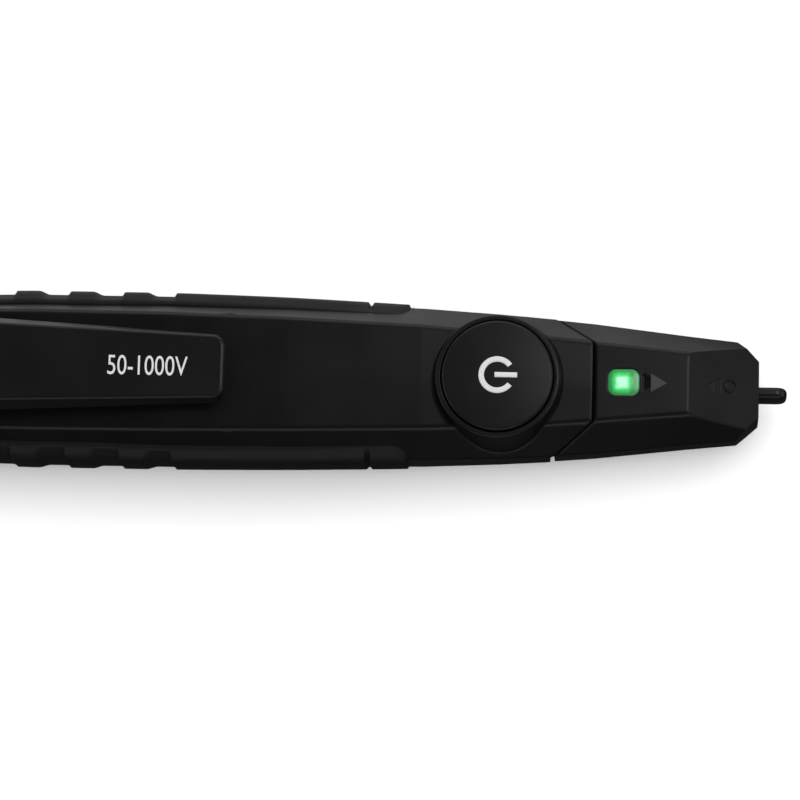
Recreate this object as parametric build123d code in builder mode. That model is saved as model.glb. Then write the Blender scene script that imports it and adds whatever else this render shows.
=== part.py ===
from build123d import *
import os
from collections import namedtuple
from math import cos, radians, sin, tan

# A pen-type non-contact voltage tester, lying on its back with its face up.
# +X runs along the tester to its sensing tip, +Y across it, +Z out of its face.
# The origin is on the surface that it lies on, midway along and across. Millimetres.

os.makedirs("parts", exist_ok=True)

# ---------------------------------------------------------------- driving dimensions
overall_length = 160.0
wall = 1.6                      # moulded walls
cell_diameter = 10.4            # AAA cells
cell_length = 44.5
cell_gap = 0.4                  # between the two cells
side_room = 0.3                 # beside the cells, where the housing is widest
cell_rise = 3.8                 # under the cells
cell_headroom = 4.4             # over the cells
grip_half_width = wall + side_room + cell_diameter + cell_gap / 2
body_height = 2 * wall + cell_rise + cell_diameter + cell_headroom
corner_radius = 1.1             # long edges of the bevels
ridge_radius = 20.0             # the ridge along the middle of the face
bevel_drop = 6.3                # face edge down to the widest line
low_corner = 6.6                # height at which the lower bevel starts
back_bevel = 4.3                # how far the lower bevel comes in
ridge = 0.35                    # the face is a very shallow roof

fit_gap = 0.1                   # parts that are assembled once
slide_gap = 0.05                # parts that slide, per side
move_gap = 0.25                 # around the button

tail_cap_length = 18.0
blade_length = 4.5
head_length = 25.9              # face edge of the seam to the head's flat end
seam_sweep = 6.6                # how far the seam runs back down the bevel
seam_width = 0.7
facet_length = 11.2             # sloping front facet of the head
facet_slope = 23.0              # degrees
nose_radius = 3.6

button_radius = 8.75
button_travel = 0.6
collar_height = 2.9             # above the face, at the button's axis
collar_wall = 0.75
collar_draft = 7.0              # degrees

clip_length = 42.8
clip_thickness = 2.3
clip_gap = 2.7                  # clear height under the clip
clip_free_half_width = 5.45
clip_root_half_width = 7.7

board_thickness = 1.2
board_rear_half = 6.0
board_middle_half = 8.0
board_front_half = 6.2
parting_height = 10.0
screw_radius = 1.0
boss_radius = 2.5

# ---------------------------------------------------------------- stations along X
tip_x = overall_length / 2
tail_x = -overall_length / 2
tail_joint_x = tail_x + tail_cap_length
head_end_x = tip_x - blade_length
facet_x = head_end_x - facet_length
seam_x = head_end_x - head_length
seam_side_x = seam_x - seam_sweep
button_x = seam_x - 15.2
window_x = seam_x + 4.6
arrow_x = seam_x + 8.8
grip_front_x = seam_x - 28.9
grip_rear_x = tail_joint_x + 1.5
cell_rear_x = tail_joint_x + 4.5
cell_front_x = cell_rear_x + cell_length
screw_x = cell_front_x + 5.0
board_rear_x = screw_x + boss_radius + 1.5
board_front_x = facet_x + 1.5
clip_root_x = tail_joint_x + 11.0
clip_end_x = clip_root_x + clip_length
neck_rear_x = seam_side_x - 4.0
neck_front_x = seam_x + 1.4

# One station of the housing's outline, seen along X.
Station = namedtuple("Station", "x narrowing bevel drop lift")

body_stations = [
    Station(tail_x, 2.6, 3.4, 3.6, 0.9),
    Station(tail_joint_x, 0.35, 3.0, 0.7, 0.0),
    Station(tail_joint_x + 22, 0.0, 3.0, 0.0, 0.0),
    Station(tail_joint_x + 44, 0.0, 3.15, 0.05, 0.0),
    Station((tail_joint_x + 44 + grip_front_x) / 2, 0.08, 3.5, 0.7, 0.0),
    Station(grip_front_x + 1.6, 0.3, 4.0, 1.9, 0.0),
    Station(button_x, 0.85, 4.15, 2.9, 0.6),
    Station(seam_side_x, 1.4, 4.15, 3.45, 1.15),
    Station(seam_x, 2.05, 4.1, 3.75, 1.6),
]
head_stations = [
    Station(neck_rear_x - 1, 1.1, 4.15, 3.3, 0.9),
    Station(seam_x, 2.05, 4.2, 3.75, 1.6),
    Station(facet_x, 3.75, 3.8, 3.9, 2.4),
    Station(head_end_x + 1, 5.0, 3.3, 4.1, 3.2),
]


def value_at(stations, x, field):
    """A station's value at x, in a straight line between its neighbours."""
    for near, far in zip(stations, stations[1:]):
        if x <= far.x or far is stations[-1]:
            share = (x - near.x) / (far.x - near.x)
            return getattr(near, field) * (1 - share) + getattr(far, field) * share


def face_height(stations, x):
    return body_height - value_at(stations, x, "drop")


def half_width(stations, x):
    return grip_half_width - value_at(stations, x, "narrowing")


def moved_in(corners, inset):
    """The corners of a closed outline once each of its sides has moved inwards by inset."""
    moved = []
    for before, corner, after in zip(corners[-1:] + corners[:-1], corners, corners[1:] + corners[:1]):
        arriving = (Vector(*corner) - Vector(*before)).normalized().rotate(Axis.Z, 90)
        leaving = (Vector(*after) - Vector(*corner)).normalized().rotate(Axis.Z, 90)
        place = Vector(*corner) + (arriving + leaving) * (inset / (1 + arriving.dot(leaving)))
        moved.append((place.X, place.Y))
    return moved


def section(stations, x, inset, roof, rounding):
    """The bevelled outline of the housing at x, moved inwards by inset, with its corners rounded."""
    wide = half_width(stations, x)
    face = wide - value_at(stations, x, "bevel")
    back = wide - back_bevel
    z_face = face_height(stations, x)
    z_wide = z_face - bevel_drop
    z_back = value_at(stations, x, "lift")
    top = [(0, z_face + roof)] if roof else []
    corners = moved_in(top + [
        (-face, z_face), (-wide, z_wide), (-wide, low_corner), (-back, z_back),
        (back, z_back), (wide, low_corner), (wide, z_wide), (face, z_face),
    ], inset)
    with BuildSketch(Plane.YZ.offset(x)) as outline:
        with BuildLine():
            if rounding:
                FilletPolyline(*corners, radius=[ridge_radius] * len(top) + [rounding] * 8, close=True)
            else:
                Polyline(*corners, close=True)
        make_face()
    return outline.sketch


def tube(stations, rear, front, inset_at, roof=ridge, rounding=0.0):
    """The housing's shape between two places along X, moved inwards by a number or a function of x."""
    places = [rear] + [s.x for s in stations if rear + 0.5 < s.x < front - 0.5] + [front]
    insets = [inset_at(x) if callable(inset_at) else inset_at for x in places]
    with BuildPart() as shape:
        loft([section(stations, x, inset, roof, rounding) for x, inset in zip(places, insets)], ruled=True)
    return shape.part


def region(plane, points, rounded=()):
    """A region drawn in the side view (X, Z) or from above (X, Y), and as deep as the tester.

    rounded gives the radius of each corner in turn, where some are rounded."""
    with BuildPart() as prism:
        with BuildSketch(plane):
            with BuildLine():
                if rounded:
                    FilletPolyline(*points, radius=rounded, close=True)
                else:
                    Polyline(*points, close=True)
            make_face()
        extrude(amount=60, both=True)
    return prism.part


def behind_seam(shift=0.0):
    """Everything behind the seam, which crosses the face squarely and runs back down the bevels."""
    edge_z = face_height(body_stations, seam_x)
    side_z = edge_z - seam_sweep
    return region(Plane.XZ, [
        (tail_x - 50, -50), (seam_side_x + shift, -50), (seam_side_x + shift, side_z),
        (seam_x + shift, edge_z), (seam_x + shift, 60), (tail_x - 50, 60),
    ])


def x_cylinder(rear, front, y, z, radius):
    """A cylinder along X."""
    with BuildPart() as rod:
        with BuildSketch(Plane.YZ.offset(rear)):
            with Locations((y, z)):
                Circle(radius)
        extrude(amount=front - rear)
    return rod.part


def z_cylinder(x, y, low, high, radius):
    """An upright cylinder."""
    with BuildPart() as rod:
        with BuildSketch(Plane.XY.offset(low)):
            with Locations((x, y)):
                Circle(radius)
        extrude(amount=high - low)
    return rod.part


def block(low, high):
    """A box from its lowest to its highest corner."""
    size = [b - a for a, b in zip(low, high)]
    middle = [(a + b) / 2 for a, b in zip(low, high)]
    with BuildPart() as box:
        with Locations(tuple(middle)):
            Box(*size)
    return box.part


def finish(builder, name):
    builder.part.label = name
    export_step(builder.part, f"parts/{name}.step")


# ---------------------------------------------------------------- housing envelopes
body_outside = tube(body_stations, tail_x, seam_x, 0, rounding=corner_radius)
neck_outside = tube(head_stations, neck_rear_x, neck_front_x, wall + fit_gap, 0.0)
neck_inside = tube(head_stations, neck_rear_x - 0.6, neck_front_x + 1, 2 * wall, 0.0)
body_inside = tube(body_stations, tail_joint_x - 1, neck_rear_x, wall)
battery_z = wall + cell_rise + cell_diameter / 2
cell_y = (cell_diameter + cell_gap) / 2
z_button_face = face_height(body_stations, button_x)
z_collar = z_button_face + collar_height
z_collar_foot = z_button_face - 5.4
board_top = parting_height + board_thickness


def head_shape(inset, rounding):
    """The head: its bevelled tube, cut by its rounded outline from above and its sloping facet."""
    end = head_end_x - inset
    rear = seam_side_x - 2
    top = face_height(head_stations, facet_x) - inset
    facet_start = facet_x - inset / 2
    facet_end_z = top - tan(radians(facet_slope)) * (end - facet_start)
    nose_half = half_width(head_stations, end - nose_radius) - inset + 0.1
    from_above = [
        (rear, -30), (end - nose_radius, -nose_half - 2), (end - nose_radius, -nose_half),
        (end, nose_radius - nose_half), (end, nose_half - nose_radius),
        (end - nose_radius, nose_half), (end - nose_radius, nose_half + 2), (rear, 30),
    ]
    with BuildPart() as head:
        add(tube(head_stations, rear, head_end_x + 1, inset, 0.0, rounding))
        add(region(Plane.XY, from_above), mode=Mode.INTERSECT)
        add(region(Plane.XZ, [
            (rear - 1, -20), (end, -20), (end, facet_end_z), (facet_start, top),
            (facet_start, 60), (rear - 1, 60),
        ]), mode=Mode.INTERSECT)
    return head.part


# ---------------------------------------------------------------- collar and button
cone_rise = z_collar - z_collar_foot
collar_top_radius = button_radius + move_gap + collar_wall
collar_foot_radius = collar_top_radius + cone_rise * tan(radians(collar_draft))
flange_radius = button_radius + 0.4
flange_top = z_collar - 1.5
flange_thickness = 1.2

with BuildPart() as collar_cone:
    with BuildSketch(Plane.XY.offset(z_collar_foot)):
        with Locations((button_x, 0)):
            Circle(collar_foot_radius)
    extrude(amount=cone_rise, taper=collar_draft)

with BuildPart() as button_bezel:
    add(collar_cone.part)
    fillet(button_bezel.faces().sort_by(Axis.Z)[-1].edges(), 0.35)
    with BuildSketch(Plane.XY.offset(z_collar_foot)):
        with Locations((button_x, 0)):
            Circle(button_radius + move_gap)
    extrude(amount=cone_rise, mode=Mode.SUBTRACT)
    with BuildSketch(Plane.XY.offset(z_collar_foot)):
        with Locations((button_x, 0)):
            Circle(flange_radius + move_gap)
    extrude(amount=flange_top + slide_gap - z_collar_foot, mode=Mode.SUBTRACT)
finish(button_bezel, "button_bezel")

switch_body_top = board_top + 3.4
plunger_top = switch_body_top + 1.0
button_rise = 0.75              # the button's rim above the collar
dome_height = 0.45

rim_z = z_collar + button_rise
flange_low = flange_top - flange_thickness
stem_low = plunger_top + slide_gap
stem_radius = 2.2
rim_rounding = 0.5

with BuildPart() as power_button:
    with BuildSketch(Plane((button_x, 0, 0), x_dir=(1, 0, 0), z_dir=(0, -1, 0))):
        with BuildLine():
            Polyline(
                (0, rim_z + dome_height), (0, stem_low), (stem_radius, stem_low), (stem_radius, flange_low),
                (flange_radius, flange_low), (flange_radius, flange_top), (button_radius, flange_top),
                (button_radius, rim_z - rim_rounding),
            )
            rim = RadiusArc(
                (button_radius, rim_z - rim_rounding), (button_radius - rim_rounding, rim_z), -rim_rounding,
            )
            dome_radius = ((button_radius - rim_rounding) ** 2 + dome_height ** 2) / (2 * dome_height)
            RadiusArc(rim @ 1, (0, rim_z + dome_height), -dome_radius)
        make_face()
    revolve(axis=Axis((button_x, 0, 0), (0, 0, 1)))
finish(power_button, "power_button")

# ---------------------------------------------------------------- shells
insert_radius = 1.7
insert_length = 5.0
insert_z = battery_z - cell_y
boss_length = 7.5
pocket_depth = 0.6
clip_base_front = clip_root_x - 0.2
clip_base_rear = clip_root_x - 7.4
clip_base_half = clip_root_half_width + 0.3
clip_face_z = face_height(body_stations, clip_root_x)
clip_screw_x = (clip_base_front + clip_base_rear) / 2
clip_screw_y = 4.5

with BuildPart() as clip_pocket:
    add(block(
        (clip_base_rear, -clip_base_half, clip_face_z - pocket_depth),
        (clip_base_front, clip_base_half, clip_face_z + 3),
    ))

with BuildPart() as body_shell:
    add(body_outside)
    add(behind_seam(-seam_width / 2), mode=Mode.INTERSECT)
    add(neck_outside)
    add(body_inside, mode=Mode.SUBTRACT)
    add(neck_inside, mode=Mode.SUBTRACT)
    add(block((tail_x - 5, -30, -5), (tail_joint_x, 30, 50)), mode=Mode.SUBTRACT)

boss_y = grip_half_width - wall - boss_radius - 1.4
boss_top = face_height(body_stations, screw_x) - 0.5
boss_hole_depth = 6.0
screw_clearance = 0.2
thread_clearance = 0.05

with BuildPart() as shell_limits:
    add(behind_seam(-seam_width / 2))
    add(neck_outside)

with BuildPart() as front_shell:
    add(body_shell.part)
    split(bisect_by=Plane.XY.offset(parting_height), keep=Keep.TOP)
    for side in (1, -1):
        add(z_cylinder(screw_x, side * boss_y, parting_height, boss_top, boss_radius))
    add(collar_cone.part, mode=Mode.SUBTRACT)
    add(z_cylinder(button_x, 0, z_collar_foot, z_collar, collar_top_radius), mode=Mode.SUBTRACT)
    add(clip_pocket.part, mode=Mode.SUBTRACT)
    for side in (1, -1):
        add(z_cylinder(
            screw_x, side * boss_y, parting_height - 1, parting_height + boss_hole_depth,
            screw_radius + thread_clearance,
        ), mode=Mode.SUBTRACT)
        add(z_cylinder(
            clip_screw_x, side * clip_screw_y, parting_height, clip_face_z + 5,
            screw_radius + screw_clearance,
        ), mode=Mode.SUBTRACT)
finish(front_shell, "front_shell")

head_screw_x = (seam_side_x + seam_x) / 2 + 1.4
board_ribs = [
    (board_rear_x + 4, board_rear_half),
    (button_x - 7, board_middle_half),
    (button_x + 3, board_middle_half),
]
rib_half_thickness = 0.6
rib_half_width = 1.2
screw_head_room = 1.2           # round a screw's head, beyond the screw's own radius
counterbore_depth = 3.0
insert_x = cell_rear_x + 0.5

with BuildPart() as back_shell:
    add(body_shell.part)
    split(bisect_by=Plane.XY.offset(parting_height), keep=Keep.BOTTOM)
    for side in (1, -1):
        add(z_cylinder(screw_x, side * boss_y, wall / 2, parting_height, boss_radius + 0.4))
    add(z_cylinder(head_screw_x, 0, wall + 2.2, parting_height - 0.6, boss_radius))
    add(x_cylinder(insert_x, insert_x + boss_length, 0, insert_z, insert_radius + 0.6))
    add(block((insert_x, -rib_half_width, wall / 2), (insert_x + boss_length, rib_half_width, insert_z)))
    for x, board_half in board_ribs:
        for side in (1, -1):
            rib_y = side * (board_half - 1.4)
            add(block(
                (x - rib_half_thickness, rib_y - rib_half_width, wall / 2),
                (x + rib_half_thickness, rib_y + rib_half_width, parting_height),
            ))
    add(shell_limits.part, mode=Mode.INTERSECT)
    for side in (1, -1):
        for top, radius in (
            (parting_height + 1, screw_radius + screw_clearance),
            (counterbore_depth, screw_radius + screw_head_room),
        ):
            add(z_cylinder(screw_x, side * boss_y, -1, top, radius), mode=Mode.SUBTRACT)
    add(z_cylinder(
        head_screw_x, 0, -1, parting_height - 1.6, screw_radius + thread_clearance,
    ), mode=Mode.SUBTRACT)
    add(x_cylinder(cell_rear_x, insert_x + insert_length, 0, insert_z, insert_radius), mode=Mode.SUBTRACT)
finish(back_shell, "back_shell")

# ---------------------------------------------------------------- head
window_length = 5.0
window_width = 4.25
slot_half_thickness = 0.95
blade_low = 4.9
blade_high = 10.9
head_face_z = face_height(head_stations, window_x)

arrow_length = 2.5
arrow_half = 1.5
arrow_tilt = 12.0
symbol_x = facet_x + 4.8
symbol_depth = 0.2
head_screw_seat = 2.4


def facet_height(x):
    return face_height(head_stations, facet_x) - tan(radians(facet_slope)) * (x - facet_x)


head_outside = head_shape(0, corner_radius)
head_inside = head_shape(wall, 0)

with BuildPart() as head_cap:
    add(head_outside)
    add(behind_seam(seam_width / 2), mode=Mode.SUBTRACT)
    add(head_inside, mode=Mode.SUBTRACT)
    with BuildSketch(Plane.XY.offset(parting_height)):
        with Locations((window_x, 0)):
            RectangleRounded(window_length, window_width, 1.3)
    extrude(amount=20, mode=Mode.SUBTRACT)
    add(block(
        (head_end_x - 4, -slot_half_thickness, blade_low), (head_end_x + 2, slot_half_thickness, blade_high),
    ), mode=Mode.SUBTRACT)
    add(z_cylinder(head_screw_x, 0, -1, 6, screw_radius + screw_clearance), mode=Mode.SUBTRACT)
    add(z_cylinder(head_screw_x, 0, -1, head_screw_seat, screw_radius + 0.95), mode=Mode.SUBTRACT)
    arrow_plane = Plane((arrow_x + arrow_length / 2, 0, head_face_z), x_dir=(1, 0, 0))
    with BuildSketch(arrow_plane.rotated((0, -arrow_tilt, 0))):
        with BuildLine():
            Polyline((0, 0), (-arrow_length, arrow_half), (-arrow_length, -arrow_half), close=True)
        make_face()
    extrude(amount=3, mode=Mode.SUBTRACT)
    facet_plane = Plane(
        (symbol_x, 0, facet_height(symbol_x)),
        x_dir=(1, 0, -tan(radians(facet_slope))),
        z_dir=(tan(radians(facet_slope)), 0, 1),
    )
    with BuildSketch(facet_plane.offset(-symbol_depth)):
        Rectangle(0.5, 2.4)
        with Locations((1.9, 0)):
            Circle(1.15)
            Circle(0.75, mode=Mode.SUBTRACT)
        with Locations((-1.5, 0)):
            Triangle(a=1.5, b=1.5, c=1.5, rotation=90)
    extrude(amount=2, mode=Mode.SUBTRACT)
finish(head_cap, "head_cap")

with BuildPart() as head_gasket:
    add(tube(head_stations, neck_rear_x, neck_front_x, 0.8, 0.0))
    add(behind_seam(seam_width / 2), mode=Mode.INTERSECT)
    add(behind_seam(-seam_width / 2), mode=Mode.SUBTRACT)
    add(neck_outside, mode=Mode.SUBTRACT)
finish(head_gasket, "head_gasket")


# ---------------------------------------------------------------- sensing tip
flange_half = 2.4
antenna_half_thickness = 0.2
antenna_margin = 1.2            # blade wall round the antenna
blade_rear = head_end_x - wall - 1.4

with BuildPart() as sensor_tip:
    add(block((blade_rear, -slot_half_thickness, blade_low), (tip_x, slot_half_thickness, blade_high)))
    tip_edges = sensor_tip.edges().group_by(Axis.X)[-1]
    fillet(tip_edges.filter_by(Axis.Y), 1.7)
    fillet(sensor_tip.edges().filter_by(Axis.Z).group_by(Axis.X)[-1], 0.8)
    add(block((blade_rear, -flange_half, blade_low), (head_end_x - wall, flange_half, blade_high)))
    add(
        block(
            (blade_rear, -antenna_half_thickness, blade_low + antenna_margin),
            (tip_x - antenna_margin, antenna_half_thickness, blade_high - antenna_margin),
        ),
        mode=Mode.SUBTRACT,
    )
finish(sensor_tip, "sensor_tip")

with BuildPart() as sensor_antenna:
    add(block(
        (board_front_x - 2.5, -antenna_half_thickness, blade_low + antenna_margin),
        (tip_x - antenna_margin, antenna_half_thickness, blade_high - antenna_margin),
    ))
    add(block(
        (board_front_x - 2.5, -antenna_half_thickness, blade_low + antenna_margin),
        (board_front_x - 0.5, antenna_half_thickness, parting_height),
    ))
finish(sensor_antenna, "sensor_antenna")

# ---------------------------------------------------------------- status light
led_height = 0.9
window_foot = board_top + led_height + 0.3
window_top = head_face_z + 0.25
window_flange_top = head_face_z - wall - 0.15

with BuildPart() as status_window:
    with BuildSketch(Plane.XY.offset(window_foot)):
        with Locations((window_x, 0)):
            RectangleRounded(window_length, window_width, 1.3)
    extrude(amount=window_top - window_foot)
    fillet(status_window.faces().sort_by(Axis.Z)[-1].edges(), 0.2)
    with BuildSketch(Plane.XY.offset(window_flange_top - 0.8)):
        with Locations((window_x, 0)):
            RectangleRounded(window_length + 0.8, window_width + 0.8, 1.6)
    extrude(amount=0.8)
finish(status_window, "status_window")

with BuildPart() as status_led:
    with BuildSketch(Plane.XY.offset(board_top)):
        with Locations((window_x, 0)):
            Rectangle(3.5, 2.8)
    extrude(amount=led_height)
    fillet(status_led.edges().filter_by(Axis.Z), 0.3)
finish(status_led, "status_led")

# ---------------------------------------------------------------- circuit board and what is on it
with BuildPart() as circuit_board:
    with BuildSketch(Plane.XY.offset(parting_height)) as board_outline:
        wide_rear = button_x - button_radius - 1.5
        wide_front = neck_rear_x - 1.0
        with BuildLine():
            one_side = [
                (board_rear_x, board_rear_half), (wide_rear, board_rear_half),
                (wide_rear, board_middle_half), (wide_front, board_middle_half),
                (wide_front, board_front_half), (board_front_x, board_front_half),
            ]
            Polyline(*[(x, -y) for x, y in one_side], *reversed(one_side), close=True)
        make_face()
        fillet(board_outline.vertices(), 0.6)
        with Locations((board_rear_x + 2.2, 4.0), (board_rear_x + 2.2, -4.0)):
            Circle(0.6, mode=Mode.SUBTRACT)
    extrude(amount=board_thickness)
finish(circuit_board, "circuit_board")


def on_board(name, size, places):
    """Identical parts soldered to the board's upper side, as one node."""
    length, width, height = size
    with BuildPart() as parts:
        with BuildSketch(Plane.XY.offset(board_top)):
            with Locations(*places):
                Rectangle(length, width)
        extrude(amount=height)
        chamfer(parts.faces().filter_by(Axis.Z).group_by(Axis.Z)[-1].edges(), 0.12)
    finish(parts, name)


buzzer_x = wide_rear - 10.5
buzzer_radius = 6.0
buzzer_height = 4.8
amplifier_x = window_x - 8.0
on_board("main_chip", (5.0, 5.0, 0.9), [(button_x - 6.6, 0)])
on_board("amplifier_chip", (5.0, 4.0, 1.5), [(amplifier_x, 0)])
on_board("capacitors", (2.0, 1.25, 0.9), [
    (amplifier_x, 4.3), (amplifier_x, -4.3), (button_x + 5.2, 3.5), (board_rear_x + 4.6, 2.5),
])
on_board("resistors", (1.6, 0.8, 0.5), [
    (window_x + 4.2 + 2.4 * i, side * 3.4) for i in range(3) for side in (1, -1)
] + [(button_x - 6.6, side * 4.2) for side in (1, -1)])

with BuildPart() as buzzer:
    with BuildSketch(Plane.XY.offset(board_top)):
        with Locations((buzzer_x, 0)):
            Circle(buzzer_radius)
    extrude(amount=buzzer_height)
    fillet(buzzer.faces().sort_by(Axis.Z)[-1].edges(), 0.5)
    with Locations((buzzer_x, 0, board_top + buzzer_height)):
        Hole(1.1, depth=1.0)
finish(buzzer, "buzzer")

plunger_radius = 1.7
plunger_seat = switch_body_top - 1.2

with BuildPart() as tact_switch:
    add(block((button_x - 3, -3, board_top), (button_x + 3, 3, switch_body_top)))
    chamfer(tact_switch.edges().filter_by(Axis.Z), 0.5)
    add(z_cylinder(
        button_x, 0, plunger_seat - button_travel - 0.1, switch_body_top, plunger_radius + slide_gap,
    ), mode=Mode.SUBTRACT)
finish(tact_switch, "tact_switch")

with BuildPart() as switch_plunger:
    add(z_cylinder(button_x, 0, plunger_seat, plunger_top, plunger_radius))
    chamfer(switch_plunger.faces().sort_by(Axis.Z)[-1].edges(), 0.2)
finish(switch_plunger, "switch_plunger")

# ---------------------------------------------------------------- cells and their contacts
nub_length = 1.0
nub_radius = 1.9
contact_thickness = 0.4
cell_radius = cell_diameter / 2


def make_cell(name, y, nub_in_front):
    """One cell along X: its can, its nub and the rolled edge at the nub's end."""
    rear = cell_rear_x if nub_in_front else cell_rear_x + nub_length
    with BuildPart() as cell:
        add(x_cylinder(rear, rear + cell_length - nub_length, y, battery_z, cell_radius))
        fillet(cell.edges().filter_by(GeomType.CIRCLE), 0.4)
        nub_rear = rear + cell_length - nub_length if nub_in_front else cell_rear_x
        add(x_cylinder(nub_rear, nub_rear + nub_length, y, battery_z, nub_radius))
    finish(cell, name)


make_cell("cell_left", cell_y, True)
make_cell("cell_right", -cell_y, False)

cradle_rear = insert_x + boss_length + 0.5
stop_rear = cell_front_x + contact_thickness

stop_front = stop_rear + 1.2

with BuildPart() as cradle_limits:
    add(block((cradle_rear, -30, 0), (stop_rear, 30, battery_z - 1.5)))
    add(block((stop_rear, -30, 0), (stop_front, 30, battery_z + cell_radius)))

with BuildPart() as battery_cradle:
    add(tube(body_stations, cradle_rear, stop_front, wall + fit_gap))
    add(cradle_limits.part, mode=Mode.INTERSECT)
    for side in (1, -1):
        add(x_cylinder(
            cradle_rear, stop_rear, side * cell_y, battery_z, cell_radius + fit_gap,
        ), mode=Mode.SUBTRACT)
finish(battery_cradle, "battery_cradle")

with BuildPart() as front_contacts:
    with BuildSketch(Plane.YZ.offset(cell_front_x)):
        with Locations((cell_y, battery_z), (-cell_y, battery_z)):
            RectangleRounded(7.0, 7.0, 0.8)
    extrude(amount=contact_thickness)
finish(front_contacts, "front_contacts")

web_rear = tail_joint_x - 4.6
web_thickness = 1.2
plate_rear = web_rear + web_thickness
plug_length = 3.0
seal_rear = tail_joint_x + 0.9
seal_front = tail_joint_x + 2.1
seal_depth = 0.9

with BuildPart() as tail_contact_plate:
    with BuildSketch(Plane.YZ.offset(plate_rear)):
        with Locations((0, battery_z)):
            RectangleRounded(2 * cell_y + 7.0, 7.0, 0.8)
    extrude(amount=contact_thickness)
finish(tail_contact_plate, "tail_contact_plate")

spring_radius = 1.5
spring_wire = 0.25
spring_rear = plate_rear + contact_thickness + spring_wire + 0.02
spring_front = cell_rear_x - spring_wire - 0.02
spring_turns = 4

with BuildPart() as cell_springs:
    for side in (1, -1):
        with BuildLine() as coil:
            turns = Helix(
                (spring_front - spring_rear) / spring_turns, spring_front - spring_rear, spring_radius,
                center=(spring_rear, side * cell_y, battery_z), direction=(1, 0, 0),
            )
        with BuildSketch(Plane(turns @ 0, z_dir=turns % 0)):
            Circle(spring_wire)
        sweep(path=coil.line, is_frenet=True)
finish(cell_springs, "cell_springs")

# ---------------------------------------------------------------- tail cap
tail_rounding = 2.2
tail_corner_radius = 1.0
tail_boss_radius = 3.2
screw_head_radius = 2.1
screw_head_height = 1.6
screw_recess = 2.2
slot_half_width = 0.3           # of the cross in a screw's head


def ring(rear, front, outer_inset, inner_inset):
    """A hoop round the inside of the housing, between two insets from its outside."""
    with BuildPart() as hoop:
        add(tube(body_stations, rear, front, outer_inset))
        add(tube(body_stations, rear - 1, front + 1, inner_inset), mode=Mode.SUBTRACT)
    return hoop.part


with BuildPart() as tail_cap:
    add(body_outside)
    add(block((tail_x + tail_rounding, -30, -5), (tail_joint_x - fit_gap, 30, 50)), mode=Mode.INTERSECT)
    loft([
        section(
            body_stations, tail_x + tail_rounding * (1 - cos(turn)), tail_rounding * (1 - sin(turn)),
            ridge, tail_corner_radius,
        )
        for turn in (radians(angle) for angle in (0, 20, 40, 65, 90))
    ], ruled=True)
    add(tube(body_stations, tail_x + 2.5, tail_joint_x, wall), mode=Mode.SUBTRACT)
    add(tube(body_stations, web_rear, web_rear + web_thickness, wall - 0.2))
    add(ring(tail_joint_x - 2.5, tail_joint_x + plug_length, wall + fit_gap, 2 * wall))
    add(ring(tail_joint_x - 2.5, tail_joint_x - 1.0, wall - 0.3, 2 * wall))
    add(ring(seal_rear, seal_front, wall, wall + seal_depth), mode=Mode.SUBTRACT)
    add(x_cylinder(tail_x + 1.2, web_rear + 0.5, 0, insert_z, tail_boss_radius))
    for front, radius in ((tail_joint_x + 5, screw_radius), (tail_x + screw_recess, screw_head_radius)):
        add(x_cylinder(tail_x - 1, front, 0, insert_z, radius + screw_clearance), mode=Mode.SUBTRACT)
finish(tail_cap, "tail_cap")

with BuildPart() as tail_seal:
    add(ring(seal_rear, seal_front, wall + slide_gap, wall + seal_depth))
finish(tail_seal, "tail_seal")

with BuildPart() as tail_screw:
    head_rear = tail_x + screw_recess - screw_head_height
    add(x_cylinder(head_rear, tail_x + screw_recess, 0, insert_z, screw_head_radius))
    fillet(tail_screw.edges().group_by(Axis.X)[0], 0.4)
    add(x_cylinder(tail_x + screw_recess, cell_rear_x + insert_length, 0, insert_z, screw_radius))
    for half_y, half_z in ((1.6, slot_half_width), (slot_half_width, 1.6)):
        add(block(
            (head_rear - 1, -half_y, insert_z - half_z), (head_rear + 0.7, half_y, insert_z + half_z),
        ), mode=Mode.SUBTRACT)
finish(tail_screw, "tail_screw")

with BuildPart() as tail_insert:
    add(x_cylinder(insert_x, insert_x + insert_length, 0, insert_z, insert_radius))
    add(x_cylinder(
        insert_x - 1, insert_x + insert_length + 1, 0, insert_z, screw_radius + slide_gap,
    ), mode=Mode.SUBTRACT)
finish(tail_insert, "tail_insert")

# ---------------------------------------------------------------- pocket clip
clip_under_free = face_height(body_stations, clip_end_x) + clip_gap
clip_under_root = clip_face_z + clip_gap + 1.3
clip_root_thickness = clip_thickness + 0.6
clip_side_free = 0.6            # how far the sides lean in, at the free end and at the root
clip_side_root = 1.4
knuckle_radius = clip_root_thickness / 2 - 0.02         # sinks into both faces of the bar
hinge_z = clip_under_root + clip_root_thickness / 2
clip_corner = 1.9
pad_length = 3.0
pad_half = 3.2
clip_screw_reach = 3.0          # above the housing's face


def clip_section(x, half, lean, low, high):
    with BuildSketch(Plane.YZ.offset(x)) as outline:
        with BuildLine():
            Polyline((-half, low), (half, low), (half - lean, high), (lean - half, high), close=True)
        make_face()
    return outline.sketch


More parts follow.
